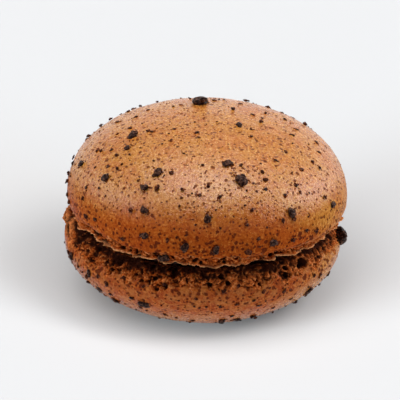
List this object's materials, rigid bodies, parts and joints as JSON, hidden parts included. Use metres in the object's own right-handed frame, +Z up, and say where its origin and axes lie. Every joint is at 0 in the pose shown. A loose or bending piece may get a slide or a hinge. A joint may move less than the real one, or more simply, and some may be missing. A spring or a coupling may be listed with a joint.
{
  "type": "macaron",
  "caption": "Round sandwich biscuit of puffed almond shells with ragged feet around a thin ganache layer, with cocoa crumbs baked on the domes",
  "frame": {"origin": "on the surface that the macaron stands on, under the middle of its bounding box", "axes": "+Z up through both shells, from the lower shell's resting spot to the upper shell's crown; +X to the side where the largest crumb of the lower shell sticks out; -Y the side seen in the picture"},
  "size_m": [0.046, 0.0458, 0.0326],
  "materials": {
    "baked_shell": "baked almond shell, cocoa brown, fine grain with a soft sheen",
    "ganache": "dark chocolate ganache, slightly glossy",
    "cocoa_crumb": "dark cocoa crumbs baked into the shells, rough and matt"
  },
  "bodies": {
    "root": {"upper_shell": "baked_shell", "lower_shell": "baked_shell", "ganache": "ganache"}
  },
  "joints": []
}
